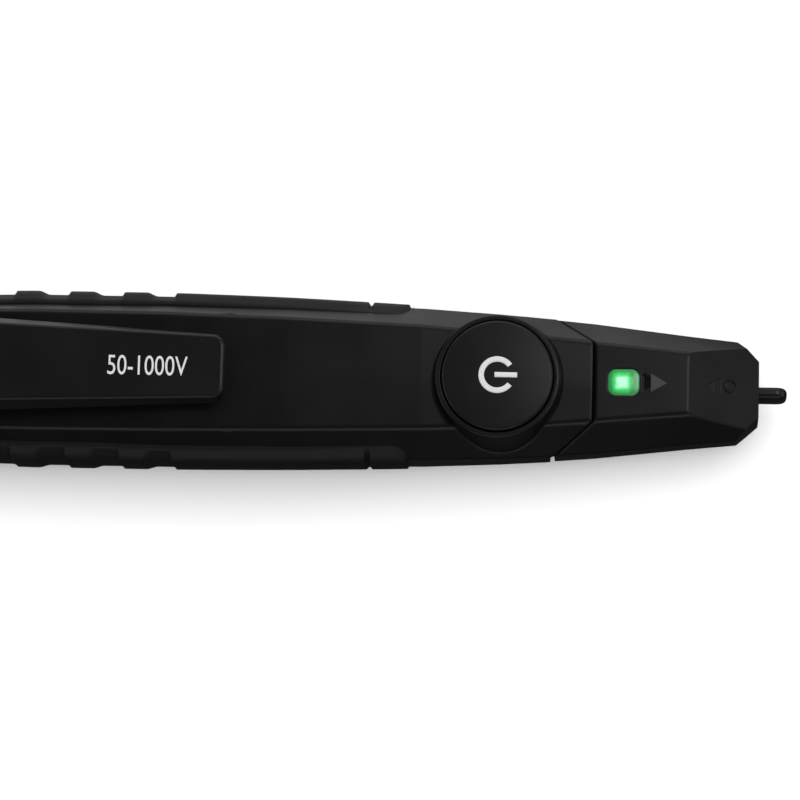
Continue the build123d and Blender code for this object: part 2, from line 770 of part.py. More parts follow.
with BuildPart() as pocket_clip:
    loft([
        clip_section(clip_root_x, clip_root_half_width, clip_side_root, clip_under_root,
                     clip_under_root + clip_root_thickness),
        clip_section(clip_end_x, clip_free_half_width, clip_side_free, clip_under_free,
                     clip_under_free + clip_thickness),
    ], ruled=True)
    end_edges = pocket_clip.faces().sort_by(Axis.X)[-1].edges()
    fillet(end_edges.filter_by(lambda e: abs(e.tangent_at(0.5).Z) > 0.5), clip_corner)
    fillet(pocket_clip.edges().filter_by(
        lambda e: e.center().Z > clip_under_free + clip_thickness / 2 and e.center().X > clip_end_x - 3), 0.6)
    with BuildSketch(Plane.XZ):
        with Locations((clip_root_x, hinge_z)):
            Circle(knuckle_radius)
    extrude(amount=clip_root_half_width - clip_side_root, both=True)
    pad_low = face_height(body_stations, clip_end_x - 4) + ridge + 0.15
    pad_middle = clip_end_x - 4
    add(block((pad_middle - pad_length / 2, -pad_half, pad_low),
              (pad_middle + pad_length / 2, pad_half, clip_under_free + 0.6)))
    fillet(pocket_clip.edges().filter_by(Axis.Y).group_by(Axis.Z)[0], 0.9)
finish(pocket_clip, "pocket_clip")

with BuildPart() as clip_base:
    add(block(
        (clip_base_rear, -clip_base_half, clip_face_z - pocket_depth),
        (clip_root_x, clip_base_half, hinge_z + knuckle_radius),
    ))
    fillet(clip_base.edges().filter_by(Axis.Z), 1.2)
    fillet(clip_base.faces().sort_by(Axis.Z)[-1].edges(), 1.0)
    with BuildSketch(Plane.XZ):
        with Locations((clip_root_x, hinge_z)):
            Circle(knuckle_radius + fit_gap)
    extrude(amount=40, both=True, mode=Mode.SUBTRACT)
    add(block((clip_base_front, -30, 0), (clip_root_x + 5, 30, 50)), mode=Mode.SUBTRACT)
    for side in (1, -1):
        add(z_cylinder(
            clip_screw_x, side * clip_screw_y, 0, clip_face_z + clip_screw_reach + 0.1,
            screw_radius + thread_clearance,
        ), mode=Mode.SUBTRACT)
finish(clip_base, "clip_base")

# ---------------------------------------------------------------- screws


def upright_screw(name, places, seat, head_height, head_radius, shank_end):
    """Screws that stand along Z, with their heads below the seat, as one node."""
    with BuildPart() as screws:
        for x, y in places:
            add(z_cylinder(x, y, seat - head_height, seat, head_radius))
            add(z_cylinder(x, y, seat, shank_end, screw_radius))
            for half_x, half_y in ((1.1, slot_half_width), (slot_half_width, 1.1)):
                add(block(
                    (x - half_x, y - half_y, seat - head_height - 0.1),
                    (x + half_x, y + half_y, seat - head_height + 0.6),
                ), mode=Mode.SUBTRACT)
    finish(screws, name)


upright_screw(
    "housing_screws", [(screw_x, boss_y), (screw_x, -boss_y)], counterbore_depth, 1.5, 2.0,
    parting_height + boss_hole_depth - 0.5,
)
upright_screw("head_screw", [(head_screw_x, 0)], head_screw_seat, 0.8, 1.75, parting_height - 2.0)
upright_screw(
    "clip_screws", [(clip_screw_x, clip_screw_y), (clip_screw_x, -clip_screw_y)], clip_face_z - wall - 0.1,
    1.1, 1.9, clip_face_z + clip_screw_reach,
)

# ---------------------------------------------------------------- rubber grips
pad_outset_rear = 1.3
pad_outset_front = 0.6
rib_height = 0.6
rib_length = 4.0
rib_pitch = 8.36
rib_flank = 0.5
long_pad_front = grip_front_x - 6.6
long_pad_rear = grip_front_x - 36.2
grip_low = 2.8


def pad_outset(x):
    """How far the raised rubber stands off the housing: it thins out towards the button."""
    fade_start = grip_front_x - 40
    share = min(max((x - fade_start) / 40, 0), 1)
    return pad_outset_rear + (pad_outset_front - pad_outset_rear) * share ** 1.5


def rubber(level):
    return tube(body_stations, grip_rear_x, grip_front_x, lambda x: level - pad_outset(x),
                rounding=corner_radius + 0.4)


def raised_part(rear, front, side):
    """The slab between two flanks that lean in towards the outside."""
    inner = grip_half_width
    outer = grip_half_width + 3
    lean = rib_flank * 3 / rib_height
    return region(Plane.XY, [
        (rear - 0.5, 0), (rear, side * inner), (rear + lean * 0.55, side * outer),
        (front - lean * 0.55, side * outer), (front, side * inner), (front + 0.5, 0),
    ])


rib_count = int((long_pad_rear - 4.4 - grip_rear_x) / rib_pitch)
raised_spans = [(long_pad_rear, long_pad_front), (long_pad_front + 0.9, grip_front_x - 0.3)]
for i in range(rib_count):
    rib_front = long_pad_rear - 4.2 - i * rib_pitch
    raised_spans.append((rib_front - rib_length, rib_front))

top_front = face_height(body_stations, grip_front_x) - 3.3
top_rear = face_height(body_stations, tail_joint_x + 22) - 3.2
strip = region(Plane.XZ, [
    (grip_rear_x - 0.01, grip_low), (grip_front_x - 0.05, grip_low), (grip_front_x - 0.05, top_front),
    (tail_joint_x + 30, top_rear), (grip_rear_x - 0.01, top_rear - 0.4),
], rounded=(2.0, 3.5, 3.5, 20.0, 2.5))
base_rubber = rubber(rib_height)
raised_rubber = rubber(0.0)

for name, side in (("grip_left", 1), ("grip_right", -1)):
    with BuildPart() as grip:
        for rear, front in raised_spans:
            add(raised_part(rear, front, side))
        add(raised_rubber, mode=Mode.INTERSECT)
        add(base_rubber)
        add(strip, mode=Mode.INTERSECT)
        add(block((tail_x, min(0, side * 40), -5), (tip_x, max(0, side * 40), 60)), mode=Mode.INTERSECT)
        add(body_outside, mode=Mode.SUBTRACT)
    finish(grip, name)
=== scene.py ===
# %% [markdown]
# # Dressing a pen-type voltage tester
# The tester lies on its back with its face up. Its shells, button, clip and head come from a CAD
# model, which is loaded first as a fixed frame. Everything here is either a finish for one of
# those parts or a new surface that stands where the frame says. +X runs to the sensing tip, +Y
# across the tester and +Z out of its face. Blender works in metres, so sizes in millimetres are
# multiplied by mm.

import bpy
import numpy as np
from mathutils import Matrix, Quaternion, Vector


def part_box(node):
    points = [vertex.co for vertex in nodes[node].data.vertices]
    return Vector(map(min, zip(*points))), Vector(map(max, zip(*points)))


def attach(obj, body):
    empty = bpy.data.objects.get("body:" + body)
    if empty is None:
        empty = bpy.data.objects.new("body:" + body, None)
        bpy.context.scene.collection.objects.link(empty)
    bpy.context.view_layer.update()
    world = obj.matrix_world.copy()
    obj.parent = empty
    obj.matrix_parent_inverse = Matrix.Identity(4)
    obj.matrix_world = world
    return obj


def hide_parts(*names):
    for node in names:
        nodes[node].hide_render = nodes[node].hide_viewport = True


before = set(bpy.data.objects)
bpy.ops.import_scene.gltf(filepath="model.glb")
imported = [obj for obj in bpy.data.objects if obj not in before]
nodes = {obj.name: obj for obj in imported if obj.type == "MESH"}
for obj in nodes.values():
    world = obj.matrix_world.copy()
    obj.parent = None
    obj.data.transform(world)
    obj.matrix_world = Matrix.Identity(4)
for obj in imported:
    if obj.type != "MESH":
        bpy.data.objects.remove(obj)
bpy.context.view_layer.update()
mm = 0.001

# %% [markdown]
# ## Helpers for finishes
# A finish is a small network of nodes that ends in one Principled shader. Three helpers keep the
# finishes short. One turns the hex colours that painters write down into the linear numbers that a
# renderer adds up. One adds a node with its settings and links. The last starts a material and
# sets the values that are the same all over its surface straight on the shader.

# %% Colours and nodes
def linear(code):
    """An sRGB colour such as "3a7bd5" as linear red, green, blue and alpha."""
    parts = np.array([int(code[i:i + 2], 16) for i in (0, 2, 4)]) / 255
    curve = np.where(parts <= 0.04045, parts / 12.92, ((parts + 0.055) / 1.055) ** 2.4)
    return (*curve.tolist(), 1.0)


def add_node(tree, kind, inputs=(), **settings):
    """Adds a node. settings are its own properties, and inputs gives each socket a value or a link."""
    made = tree.nodes.new("ShaderNode" + kind)
    for name, value in settings.items():
        setattr(made, name, value)
    for socket, value in dict(inputs).items():
        if isinstance(value, bpy.types.NodeSocket):
            tree.links.new(value, made.inputs[socket])
        else:
            made.inputs[socket].default_value = value
    return made


def start_material(name, values):
    """A new material, its node tree and its Principled shader with these constant values."""
    made = bpy.data.materials.new(name)
    made.use_nodes = True
    shader = made.node_tree.nodes["Principled BSDF"]
    for socket, value in values.items():
        shader.inputs[socket].default_value = value
    return made, made.node_tree, shader


def per_mm(size):
    """The texture scale that repeats a pattern every size millimetres, on coordinates in metres."""
    return 1 / (size * mm)


print("white is", linear("ffffff"))

# %% [markdown]
# ## What every moulding has in common
# A moulded part is never a flat colour with knife edges. Its tool was spark-eroded, so the surface
# has a fine even grain. Its edges have a small radius, and they are the first place that handling
# polishes. Both come from one look at the shape: the Bevel node turns the normal near an edge as
# if the edge were rounded, and where that normal leaves the real one, there is an edge. A mesh
# bevel on these dense CAD meshes would cost far more and would change nothing that the eye sees.

# %% Edges and grain
def edge_finder(tree, radius):
    """The rounded normal at edges, and a mask that is 0 on flats and rises to 1 on edges.

    The mask is one minus the dot product of the rounded and the true normal, scaled up."""
    rounded = add_node(tree, "Bevel", {"Radius": radius * mm}, samples=6)
    true = add_node(tree, "NewGeometry")
    alike = add_node(tree, "VectorMath", {0: rounded.outputs[0], 1: true.outputs["Normal"]},
                     operation="DOT_PRODUCT")
    flat, sharp = 0.995, 0.8
    mask = add_node(tree, "MapRange", {"Value": alike.outputs["Value"], "From Min": flat, "From Max": sharp})
    return rounded.outputs[0], mask.outputs[0]


def moulded(name, colour, worn_and_sheen, roughness, grain, depth, edge, values=()):
    """A moulded plastic or rubber. grain and depth are its eroded texture's, edge its radius, in mm.

    Roughness is a base value, plus or minus a little where a slow noise says that hands have rubbed
    it, less a little on the edges. The colour goes from the moulded one to a lighter one on the edges,
    broken up by the slow noise: partly wear and partly a painted edge sheen."""
    rubbed_patch, rubbed_change, edge_polish = 9.0, 0.04, -0.12
    made, tree, shader = start_material(name, {"IOR": 1.49, **dict(values)})
    place = add_node(tree, "TexCoord").outputs["Object"]
    normal, edges = edge_finder(tree, edge)
    fine = add_node(tree, "TexNoise", {"Vector": place, "Scale": per_mm(grain), "Detail": 2.0})
    slow = add_node(tree, "TexNoise", {"Vector": place, "Scale": per_mm(rubbed_patch), "Detail": 3.0})
    # Partly painted light: edges go to a lighter colour, which is partly wear and partly a painted sheen.
    wear_and_sheen_mask = add_node(tree, "Math", {0: edges, 1: slow.outputs[0]}, operation="MULTIPLY")
    tint = add_node(tree, "Mix", {"Factor": wear_and_sheen_mask.outputs[0], "A": linear(colour), "B": linear(worn_and_sheen)},
                    data_type="RGBA")
    rubbed = add_node(tree, "MapRange", {
        "Value": slow.outputs[0], "From Min": 0.3, "From Max": 0.7,
        "To Min": roughness - rubbed_change, "To Max": roughness + rubbed_change,
    })
    polished = add_node(tree, "Math", {0: wear_and_sheen_mask.outputs[0], 1: edge_polish, 2: rubbed.outputs[0]},
                        operation="MULTIPLY_ADD")
    bump = add_node(tree, "Bump", {
        "Height": fine.outputs[0], "Distance": depth * mm, "Strength": 1.0, "Normal": normal,
    })
    tree.links.new(tint.outputs["Result"], shader.inputs["Base Color"])
    tree.links.new(polished.outputs[0], shader.inputs["Roughness"])
    tree.links.new(bump.outputs[0], shader.inputs["Normal"])
    return made


# %% [markdown]
# ## The black parts
# Four blacks sit side by side, and the eye tells them apart by their sheen. The shells and head are
# ABS with an eroded grain, the clip and the collar are a smoother polycarbonate, the button has a
# finer and duller grain, and the grips are a matt thermoplastic rubber. The real grain is about
# 0.12 mm and would vanish, so it is drawn at 0.3 mm.

# %% Black finishes
# Injection-moulded ABS from a spark-eroded tool, for the housing slot.
eroded_abs = moulded("eroded_black_abs", "080809", "141415", 0.36, 0.3, 0.006, 0.45,
                     {"Specular IOR Level": 0.2})
# Injection-moulded polycarbonate from a finely blasted tool, for the gloss_black slot.
satin_polycarbonate = moulded("satin_black_polycarbonate", "0c0c0d", "161718", 0.34, 0.35, 0.003, 0.25,
                              {"Specular IOR Level": 0.15, "IOR": 1.58})
# ABS again, from a more finely eroded tool, for the button.
button_abs = moulded("fine_grained_button_abs", "0a0a0b", "171718", 0.42, 0.25, 0.004, 0.2,
                     {"Specular IOR Level": 0.22})
# Thermoplastic rubber, shot over the shells, with a coarser grain than theirs.
grip_rubber = moulded("overmoulded_tpe_rubber", "0a0a0a", "181818", 0.58, 0.4, 0.012, 0.3,
                      {"Specular IOR Level": 0.2, "IOR": 1.5})
# Pressed silicone, for the seals.
seal_rubber = moulded("moulded_silicone_seal", "060606", "101010", 0.6, 0.4, 0.006, 0.15)
print("black finishes:", eroded_abs.name, satin_polycarbonate.name, button_abs.name, grip_rubber.name)

# %% [markdown]
# ## White ink and the green light
# The button's mark is screen-printed. Ink sits on top of the grain as a thin even film with a
# slightly mottled edge, so it is nearly flat white with a weak noise. The window over the light is
# a clear green polycarbonate with a diffuser in it: it glows almost white where the light stands
# behind it and falls off to a deep green at its rim. The glow is worked out from the distance to
# the light in the window's own place, so it doesn't move with the view.

# %% Ink and light
def printed_ink():
    """Screen-printed white: a film with a weak mottle of 0.5 mm."""
    made, tree, shader = start_material("screen_printed_white_ink", {"Roughness": 0.5, "IOR": 1.5})
    place = add_node(tree, "TexCoord").outputs["Object"]
    mottle = add_node(tree, "TexNoise", {"Vector": place, "Scale": per_mm(0.5), "Detail": 2.0})
    tint = add_node(tree, "Mix", {"Factor": mottle.outputs[0], "A": linear("a4a6a4"), "B": linear("c0c1bf")},
                    data_type="RGBA")
    bump = add_node(tree, "Bump", {"Height": mottle.outputs[0], "Distance": 0.004 * mm})
    tree.links.new(tint.outputs["Result"], shader.inputs["Base Color"])
    tree.links.new(bump.outputs[0], shader.inputs["Normal"])
    return made


window_low, window_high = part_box("status_window")
led_low, led_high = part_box("status_led")
window_centre = (window_low + window_high) / 2
led_centre = (led_low + led_high) / 2


def lit_window(name, centre, hot, middle, rim, reach, brightness):
    """A lit diffuser: its glow is a ramp of three colours over the distance from the light.

    The distance is the fourth root of x^4 + y^4, which draws squares with round corners. It is 1 at
    reach millimetres, and a fine speckle, as the diffuser's grains give, makes it a little uneven."""
    hot_until, middle_at, rim_from, speckle_share = 0.38, 0.62, 0.88, 0.22
    made, tree, shader = start_material(name, {
        "Base Color": linear("0d5c2a"), "Roughness": 0.3, "IOR": 1.58, "Emission Strength": brightness,
    })
    place = add_node(tree, "TexCoord").outputs["Object"]
    moved = add_node(tree, "Mapping", {
        "Vector": place, "Location": (-centre[0] / mm, -centre[1] / mm, 0), "Scale": (1 / mm, 1 / mm, 0),
    })
    split = add_node(tree, "SeparateXYZ", {0: moved.outputs[0]})
    powers = [add_node(tree, "Math", {0: split.outputs[i], 1: 4.0}, operation="POWER") for i in (0, 1)]
    total = add_node(tree, "Math", {0: powers[0].outputs[0], 1: powers[1].outputs[0]})
    root = add_node(tree, "Math", {0: total.outputs[0], 1: 0.25}, operation="POWER")
    share = add_node(tree, "MapRange", {"Value": root.outputs[0], "From Max": reach})
    speckle = add_node(tree, "TexNoise", {"Vector": place, "Scale": per_mm(0.7), "Detail": 1.0})
    uneven = add_node(tree, "Math", {0: speckle.outputs[0], 1: speckle_share, 2: share.outputs[0]},
                      operation="MULTIPLY_ADD")
    ramp = add_node(tree, "ValToRGB", {0: uneven.outputs[0]})
    elements = ramp.color_ramp.elements
    elements[0].position, elements[0].color = hot_until, linear(hot)
    elements[1].position, elements[1].color = rim_from, linear(rim)
    elements.new(middle_at).color = linear(middle)
    tree.links.new(ramp.outputs[0], shader.inputs["Emission Color"])
    return made


white_ink = printed_ink()
# Moulded polycarbonate with a diffusing filler. Its brightest place is a little behind the lamp.
green_window = lit_window("diffusing_green_polycarbonate", (led_centre.x - 0.25 * mm, led_centre.y),
                          "c4ffe0", "34c85e", "1a5a2b", 2.4, 0.95)
# The lamp's own cast epoxy, in its white package.
led_package = lit_window("green_led_in_white_epoxy", led_centre, "d8ffe0", "50e080", "dfe8df", 2.2, 1.2)
print("the window is", [round(v / mm, 2) for v in window_high - window_low], "mm")

# %% [markdown]
# ## What is inside
# Nobody sees the inside until the tail cap comes off, but a part in a library is taken apart. The
# board is glass-epoxy under green solder mask, with copper tracks that show as slightly lighter
# bands. Nickel plate, brass and tin are metals: the colour goes into the reflection, and rolling or
# turning leaves fine lines along the way the metal moved.

# %% Metals
def metal(name, colour, roughness, along):
    """A drawn, rolled or turned metal: its lines run along an axis, a quarter of a millimetre apart."""
    line, line_length, stain_size, stained = 0.25, 30, 3.0, 0.72
    bright = linear(colour)
    made, tree, shader = start_material(name, {"Metallic": 1.0})
    place = add_node(tree, "TexCoord").outputs["Object"]
    stretch = [per_mm(line)] * 3
    stretch[along] /= line_length
    lines = add_node(tree, "Mapping", {"Vector": place, "Scale": stretch})
    streaks = add_node(tree, "TexNoise", {"Vector": lines.outputs[0], "Scale": 1.0, "Detail": 3.0})
    stain = add_node(tree, "TexNoise", {"Vector": place, "Scale": per_mm(stain_size)})
    tint = add_node(tree, "Mix", {
        "Factor": stain.outputs[0], "A": bright, "B": (*(stained * v for v in bright[:3]), 1.0),
    }, data_type="RGBA")
    rough = add_node(tree, "MapRange", {
        "Value": streaks.outputs[0], "To Min": roughness - 0.1, "To Max": roughness + 0.1,
    })
    normal, _ = edge_finder(tree, 0.08)
    bump = add_node(tree, "Bump", {"Height": streaks.outputs[0], "Distance": 0.003 * mm, "Normal": normal})
    tree.links.new(tint.outputs["Result"], shader.inputs["Base Color"])
    tree.links.new(rough.outputs[0], shader.inputs["Roughness"])
    tree.links.new(bump.outputs[0], shader.inputs["Normal"])
    return made


nickel_plate = metal("nickel_plated_spring_steel", "c9c5ba", 0.28, 0)    # drawn and stamped, then plated
black_screw = metal("black_oxide_screw_steel", "3a3a3c", 0.4, 2)         # cold-headed, then blackened
turned_brass = metal("turned_brass", "c8a24e", 0.3, 0)                   # turned from bar
tinned_copper = metal("tinned_copper_strip", "b9a894", 0.35, 0)          # rolled, tinned and cut
print("metals:", nickel_plate.name, black_screw.name, turned_brass.name, tinned_copper.name)

# %% [markdown]
# The board's tracks are drawn with a brick pattern, because tracks run square to the board's edges
# and turn at right angles. Real tracks are 0.3 mm wide and so are these.

# %% Board, chips and cells
def solder_masked_board():
    """Green solder mask over copper: brick lines 0.3 mm wide show the tracks through the mask."""
    made, tree, shader = start_material("solder_masked_glass_epoxy", {"Roughness": 0.3, "IOR": 1.5})
    place = add_node(tree, "TexCoord").outputs["Object"]
    tracks = add_node(tree, "TexBrick", {
        "Vector": place, "Scale": per_mm(1.0), "Mortar Size": 0.15, "Brick Width": 3.2, "Row Height": 1.3,
        "Color1": linear("0c4a24"), "Color2": linear("0f5329"), "Mortar": linear("1d7a41"),
    })
    weave = add_node(tree, "TexNoise", {"Vector": place, "Scale": per_mm(0.4)})
    height = add_node(tree, "Math", {0: tracks.outputs["Fac"], 1: weave.outputs[0]})
    bump = add_node(tree, "Bump", {"Height": height.outputs[0], "Distance": 0.02 * mm})
    tree.links.new(tracks.outputs["Color"], shader.inputs["Base Color"])
    tree.links.new(bump.outputs[0], shader.inputs["Normal"])
    return made


band_from_rear = 30.0


def cell_sleeve():
    """A cell's printed and shrunk sleeve: a dark body, with a gold band over the last third.

    The band's edge is where the place along X passes a named distance from the cell's rear."""
    made, tree, shader = start_material("shrunk_cell_sleeve", {"IOR": 1.5, "Coat Weight": 0.3})
    cell_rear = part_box("cell_left")[0].x
    band_start, print_blur = cell_rear + band_from_rear * mm, 0.2 * mm
    place = add_node(tree, "TexCoord").outputs["Object"]
    along = add_node(tree, "SeparateXYZ", {0: place})
    band = add_node(tree, "MapRange", {
        "Value": along.outputs[0], "From Min": band_start, "From Max": band_start + print_blur,
    })
    print_noise = add_node(tree, "TexNoise", {"Vector": place, "Scale": per_mm(2.0)})
    tint = add_node(tree, "Mix", {"Factor": band.outputs[0], "A": linear("1c2a3f"), "B": linear("b08a3c")},
                    data_type="RGBA")
    rough = add_node(tree, "MapRange", {"Value": print_noise.outputs[0], "To Min": 0.18, "To Max": 0.34})
    tree.links.new(tint.outputs["Result"], shader.inputs["Base Color"])
    tree.links.new(rough.outputs[0], shader.inputs["Roughness"])
    return made


board_mask = solder_masked_board()
sleeve = cell_sleeve()
# Transfer-moulded epoxy, fired ceramic, and uncoloured nylon, into which light goes a little way.
chip_epoxy = moulded("moulded_chip_epoxy", "141416", "2a2a2c", 0.5, 0.2, 0.004, 0.1)
chip_ceramic = moulded("sintered_ceramic", "8f6f4c", "b09878", 0.4, 0.2, 0.004, 0.1)
white_nylon = moulded("natural_nylon", "c9c6bc", "dedbd2", 0.42, 0.5, 0.008, 0.2,
                      {"Subsurface Weight": 0.1, "Subsurface Radius": (0.001, 0.0008, 0.0006)})
print("the sleeve's band starts", band_from_rear, "mm from the cell's rear")

# %% [markdown]
# ## Putting the finishes on
# Each CAD part already names the slot that its finish belongs to, and two kinds of part share a slot
# but differ to the eye, so a short list of exceptions follows the slots.

# %% Finishes on the CAD parts
by_slot = {
    "housing": eroded_abs, "rubber": grip_rubber, "gloss_black": satin_polycarbonate,
    "button_black": button_abs, "seal": seal_rubber, "green_lens": green_window,
    "white_plastic": white_nylon, "board": board_mask, "chip": chip_epoxy, "capacitor": chip_ceramic,
    "steel": black_screw, "nickel": nickel_plate, "brass": turned_brass, "cell_wrap": sleeve,
}
by_node = {"sensor_antenna": tinned_copper, "status_led": led_package}
for name, part in nodes.items():
    slot_name = part.material_slots[0].material.name.split(".")[0]
    part.material_slots[0].material = by_node.get(name, by_slot[slot_name])
print(len(nodes), "parts finished")

# %% [markdown]
# ## New surfaces
# Every new piece is a closed tube: a stack of rings with the same number of points, joined by
# four-sided faces and shut by a face at each end. A grip, a printed mark and a window differ only
# in how their rings are worked out, and numpy works out all the points of a piece at once.

# %% A closed tube of rings
def closed_tube(name, rings, material, body, smooth=True):
    """A solid from rings, an array of (ring, point, xyz) in millimetres, that rides on a CAD body.

    Point j of ring i joins point j + 1 and ring i + 1. The first and last ring are closed by a face.
    If the volume, summed over its faces, comes out negative, the faces are turned round."""
    count, around, _ = rings.shape
    points = rings.reshape(-1, 3) * mm
    i, j = np.meshgrid(np.arange(count - 1), np.arange(around), indexing="ij")
    k = (j + 1) % around
    sides = np.stack([i * around + j, i * around + k, (i + 1) * around + k, (i + 1) * around + j], -1)
    sides = sides.reshape(-1, 4)
    a, b, c, d = (points[sides[:, n]] for n in range(4))
    volume = np.einsum("ij,ij->", a, np.cross(b, c)) + np.einsum("ij,ij->", a, np.cross(c, d))
    ends = [np.arange(around)[::-1], (count - 1) * around + np.arange(around)]
    faces = [*sides.tolist(), *(e.tolist() for e in ends)]
    if volume < 0:
        faces = [f[::-1] for f in faces]
    mesh = bpy.data.meshes.new(name)
    mesh.from_pydata(points.tolist(), [], faces)
    mesh.materials.append(material)
    mesh.polygons.foreach_set("use_smooth", [smooth] * (len(faces) - 2) + [False] * 2)
    mesh.validate()
    made = bpy.data.objects.new(name, mesh)
    bpy.context.scene.collection.objects.link(made)
    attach(made, body)
    print(name, len(faces), "faces", [round(v / mm, 2) for v in made.dimensions], "mm")
    return made


# %% [markdown]
# ## The rubber grips
# Each side of the handle carries a strip of rubber moulded over the shell. It wraps from the upper
# bevel over the widest line to the lower bevel, and stands 1.3 mm proud at the rear and 0.6 mm near
# the button. Ribs cross its rear half: each rises steeply at its rear, is flat for 3.4 mm and falls
# in a gentle curve towards the tip. A long smooth pad and a short one follow, with a notch between
# them. A displaced cylinder would need a dense mesh to hold the ribs' steep sides, so the strip is
# worked out instead: the shell's own outline at each place along X, moved outwards by a thickness
# that is a function of the place along and across.

# %% The shell's outline under the grips
# Each row: the place along X, how much narrower than at its widest the shell is there, how far its
# bevel comes in, and how far its face has dropped. All in millimetres.
shell_at = np.array([
    [-62.0, 0.35, 3.0, 0.7], [-40.0, 0.0, 3.0, 0.0], [-18.0, 0.0, 3.15, 0.05],
    [1.35, 0.08, 3.5, 0.7], [22.3, 0.3, 4.0, 1.9],
])
shell_half_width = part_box("front_shell")[1].y / mm
face_top = 21.8          # the face at its highest
bevel_drop = 6.3         # from the face down to the widest line
low_corner = 6.6         # the side's lower corner, above the table
back_bevel = 4.3         # how far the lower bevel comes in
corner_cut = 0.7         # how far from a corner its rounding starts
print("the shell is", round(2 * shell_half_width, 2), "mm wide")


def smooth_step(value):
    """A rise from 0 to 1 that starts and ends level: 3t squared less 2t cubed."""
    t = np.clip(value, 0, 1)
    return t * t * (3 - 2 * t)


def round_edge(distance, radius):
    """The height share of a quarter-round edge at a distance from the edge: a circle's arc."""
    t = 1 - np.clip(distance / radius, 0, 1)
    return np.sqrt(1 - t * t)


def outline_path(x, top, low, steps):
    """Points across one side of the shell at each x, from the upper bevel down to the lower one.

    The path is straight along the bevel, the side and the lower bevel, and a quadratic curve rounds
    the corners between them. Returns y and z, each an array of (x, point)."""
    narrower, bevel, drop = (np.interp(x, shell_at[:, 0], shell_at[:, n]) for n in (1, 2, 3))
    wide = shell_half_width - narrower
    z_face = face_top - drop
    z_wide = z_face - bevel_drop
    upper = (wide - bevel * (top - z_wide) / bevel_drop, top)
    lower = (wide - back_bevel * (low_corner - low) / low_corner, low)
    corners = [upper, (wide, z_wide), (wide, np.full_like(x, low_corner)), lower]
    corners = [np.stack([np.broadcast_to(v, x.shape) for v in c], -1) for c in corners]
    path = [corners[0]]
    for before, corner, after in zip(corners, corners[1:], corners[2:]):
        for other in (before, after):
            away = other - corner
            path.append(corner + away * corner_cut / np.linalg.norm(away, axis=-1, keepdims=True))
    path.append(corners[3])
    t = np.linspace(0, 1, steps)[None, :, None]
    runs = []
    for n in range(3):
        a, b = path[2 * n][:, None], path[2 * n + 1][:, None]
        runs.append((a + (b - a) * t)[:, :-1])
        if n < 2:
            mid, c = corners[n + 1][:, None], path[2 * n + 2][:, None]
            runs.append(((1 - t) ** 2 * b + 2 * t * (1 - t) * mid + t * t * c)[:, :-1])
    points = np.concatenate([*runs, path[5][:, None]], axis=1)
    return points[..., 0], points[..., 1]


# %% The grips' thickness and shape
grip_low_corner, grip_high_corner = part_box("grip_left")
grip_rear, grip_front = grip_low_corner.x / mm, grip_high_corner.x / mm
grip_foot = grip_low_corner.z / mm
proud_rear, proud_front = grip_high_corner.y / mm - shell_half_width, 0.6
proud_fade = 40.0                        # over this length before the front end it gets thinner
thinner_below = 0.3                      # the share by which it is thinner on the lower bevel
rib_height, rib_pitch, rib_flat = 0.62, 8.6, 3.4
rise, fall = 0.45, 1.9                   # a rib's steep rear flank and its gentle front one
long_pad, long_pad_fall = (-16.9, 13.4), 0.5
short_pad, short_pad_fall = (14.4, 19.9), 0.4
rib_fronts = long_pad[0] - 4.9 - rib_pitch * np.arange(5)
rib_run_out = 2.2                        # ribs fade over this width at the strip's two long edges
top_from_x, top_rear, top_front = -32.0, 18.55, 16.6
plan_corner, side_round, end_round = 3.5, 0.7, 0.9
clearance = 0.02                         # kept from the CAD strip's ends and foot; sunk at the edges
under = -0.08                            # the hidden side lies this far inside the shell's face
ring_step, end_steps_reach, path_steps = 0.16, 1.2, 9


def raised(x):
    """How far up the ribs and pads the strip is, from 0 in the valleys to 1 on their tops."""
    spans = [(front - rib_flat, front, fall) for front in rib_fronts]
    spans += [(*long_pad, long_pad_fall), (*short_pad, short_pad_fall)]
    tops = [smooth_step((x - a + rise) / rise) * smooth_step((b + out - x) / out) for a, b, out in spans]
    return np.max(tops, axis=0)


